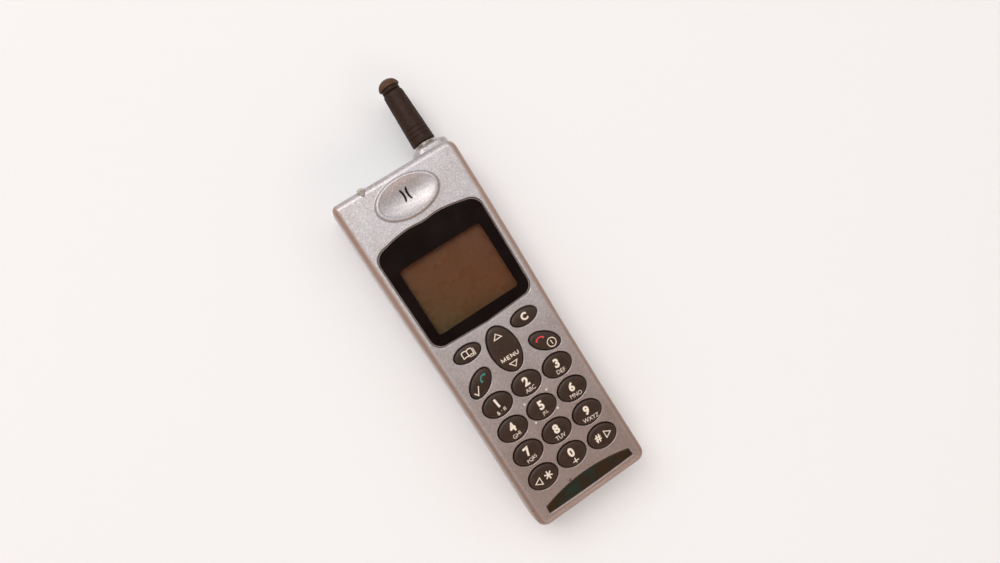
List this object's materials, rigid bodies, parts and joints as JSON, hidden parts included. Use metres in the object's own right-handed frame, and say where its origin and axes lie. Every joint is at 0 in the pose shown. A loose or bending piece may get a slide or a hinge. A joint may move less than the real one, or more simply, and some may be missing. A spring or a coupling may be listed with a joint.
{
  "type": "mobile phone",
  "caption": "Slim mobile phone with a keypad, oval earpiece, dark display window, stub antenna with a pull-out whip, and a slide-off battery pack.",
  "frame": {"origin": "middle of the battery pack's flat back, on the face that the phone lies on", "axes": "+Z out of the display, +Y towards the antenna end, +X to the right of someone who reads the display"},
  "size_m": [0.0586, 0.193, 0.0262],
  "materials": {
    "silver_paint": "metallic silver paint on moulded plastic",
    "window": "clear window with a black printed mask behind it",
    "lcd": "liquid crystal display, unlit, brown-olive",
    "white_plastic": "white moulded light guide",
    "key_rubber": "dark brown keys with pale printed legends",
    "grey_rubber": "silicone rubber",
    "black_plastic": "black moulded plastic",
    "smoked_insert": "dark smoked gloss plastic",
    "clear_plastic": "clear moulded light pipe",
    "steel": "plain or nickel-plated steel",
    "contact": "gold-plated contact",
    "copper": "bare copper wire",
    "nylon": "natural nylon tube",
    "board": "green solder mask",
    "foam": "dark foam",
    "led": "green light-emitting diode",
    "cell": "aluminium cell can in a blue film wrap",
    "card": "white plastic card"
  },
  "bodies": {
    "handset": {"front_cover": "silver_paint", "rear_cover": "silver_paint", "display_window": "window", "lcd_glass": "lcd", "lcd_frame": "white_plastic", "lcd_connector_strip": "black_plastic", "keypad_mat": "grey_rubber", "dome_switches": "steel", "mouthpiece_insert": "smoked_insert", "microphone": "steel", "microphone_boot": "black_plastic", "earpiece_speaker": "steel", "earpiece_gasket": "foam", "status_light_pipe": "clear_plastic", "status_led": "led", "antenna_ferrule": "steel", "antenna_stub": "black_plastic", "antenna_coil": "copper", "antenna_guide_tube": "nylon", "antenna_contact": "contact", "main_board": "board", "shield_can_radio": "steel", "shield_can_logic": "steel", "backup_cell": "steel", "ringer": "black_plastic", "system_connector": "black_plastic", "connector_pins": "contact", "battery_contacts": "contact", "case_screw_1": "steel", "case_screw_2": "steel", "case_screw_3": "steel", "case_screw_4": "steel", "battery_latch_spring": "steel", "sim_holder": "steel"},
    "key_1_body": {"key_1": "key_rubber"},
    "key_2_body": {"key_2": "key_rubber"},
    "key_3_body": {"key_3": "key_rubber"},
    "key_4_body": {"key_4": "key_rubber"},
    "key_5_body": {"key_5": "key_rubber"},
    "key_6_body": {"key_6": "key_rubber"},
    "key_7_body": {"key_7": "key_rubber"},
    "key_8_body": {"key_8": "key_rubber"},
    "key_9_body": {"key_9": "key_rubber"},
    "key_star_body": {"key_star": "key_rubber"},
    "key_0_body": {"key_0": "key_rubber"},
    "key_hash_body": {"key_hash": "key_rubber"},
    "key_phonebook_body": {"key_phonebook": "key_rubber"},
    "key_clear_body": {"key_clear": "key_rubber"},
    "key_call_body": {"key_call": "key_rubber"},
    "key_end_body": {"key_end": "key_rubber"},
    "key_menu_body": {"key_menu": "key_rubber"},
    "antenna_rod": {"antenna_whip": "steel", "antenna_cap": "black_plastic"},
    "battery_pack": {"battery_case": "silver_paint", "battery_lid": "black_plastic", "battery_cell_lower": "cell", "battery_cell_upper": "cell", "battery_circuit": "board"},
    "latch_button": {"battery_latch_button": "black_plastic"},
    "sim": {"sim_card": "card"}
  },
  "joints": [
    {"name": "press_1", "type": "slide", "parent": "handset", "child": "key_1_body", "axis": [0, 0, -1], "range_m": [0, 0.0007], "stiffness_N_per_m": 400},
    {"name": "press_2", "type": "slide", "parent": "handset", "child": "key_2_body", "axis": [0, 0, -1], "range_m": [0, 0.0007], "stiffness_N_per_m": 400},
    {"name": "press_3", "type": "slide", "parent": "handset", "child": "key_3_body", "axis": [0, 0, -1], "range_m": [0, 0.0007], "stiffness_N_per_m": 400},
    {"name": "press_4", "type": "slide", "parent": "handset", "child": "key_4_body", "axis": [0, 0, -1], "range_m": [0, 0.0007], "stiffness_N_per_m": 400},
    {"name": "press_5", "type": "slide", "parent": "handset", "child": "key_5_body", "axis": [0, 0, -1], "range_m": [0, 0.0007], "stiffness_N_per_m": 400},
    {"name": "press_6", "type": "slide", "parent": "handset", "child": "key_6_body", "axis": [0, 0, -1], "range_m": [0, 0.0007], "stiffness_N_per_m": 400},
    {"name": "press_7", "type": "slide", "parent": "handset", "child": "key_7_body", "axis": [0, 0, -1], "range_m": [0, 0.0007], "stiffness_N_per_m": 400},
    {"name": "press_8", "type": "slide", "parent": "handset", "child": "key_8_body", "axis": [0, 0, -1], "range_m": [0, 0.0007], "stiffness_N_per_m": 400},
    {"name": "press_9", "type": "slide", "parent": "handset", "child": "key_9_body", "axis": [0, 0, -1], "range_m": [0, 0.0007], "stiffness_N_per_m": 400},
    {"name": "press_star", "type": "slide", "parent": "handset", "child": "key_star_body", "axis": [0, 0, -1], "range_m": [0, 0.0007], "stiffness_N_per_m": 400},
    {"name": "press_0", "type": "slide", "parent": "handset", "child": "key_0_body", "axis": [0, 0, -1], "range_m": [0, 0.0007], "stiffness_N_per_m": 400},
    {"name": "press_hash", "type": "slide", "parent": "handset", "child": "key_hash_body", "axis": [0, 0, -1], "range_m": [0, 0.0007], "stiffness_N_per_m": 400},
    {"name": "press_phonebook", "type": "slide", "parent": "handset", "child": "key_phonebook_body", "axis": [0, 0, -1], "range_m": [0, 0.0007], "stiffness_N_per_m": 400},
    {"name": "press_clear", "type": "slide", "parent": "handset", "child": "key_clear_body", "axis": [0, 0, -1], "range_m": [0, 0.0007], "stiffness_N_per_m": 400},
    {"name": "press_call", "type": "slide", "parent": "handset", "child": "key_call_body", "axis": [0, 0, -1], "range_m": [0, 0.0007], "stiffness_N_per_m": 400},
    {"name": "press_end", "type": "slide", "parent": "handset", "child": "key_end_body", "axis": [0, 0, -1], "range_m": [0, 0.0007], "stiffness_N_per_m": 400},
    {"name": "rock_menu", "type": "hinge", "parent": "handset", "child": "key_menu_body", "pos_m": [0, -0.00705, 0.0222], "axis": [1, 0, 0], "range_deg": [-3, 3], "stiffness_Nm_per_rad": 0.02},
    {"name": "antenna_pull", "type": "slide", "parent": "handset", "child": "antenna_rod", "axis": [0, 1, 0], "range_m": [0, 0.085]},
    {"name": "battery_slide_off", "type": "slide", "parent": "handset", "child": "battery_pack", "axis": [0, -1, 0], "range_m": [0, 0.1], "deforming": ["battery_latch_spring"]},
    {"name": "press_latch", "type": "slide", "parent": "handset", "child": "latch_button", "axis": [0, 0, 1], "range_m": [0, 0.001], "stiffness_N_per_m": 400, "deforming": ["battery_latch_spring"]},
    {"name": "sim_slide_out", "type": "slide", "parent": "handset", "child": "sim", "axis": [0, -1, 0], "range_m": [0, 0.018]}
  ]
}
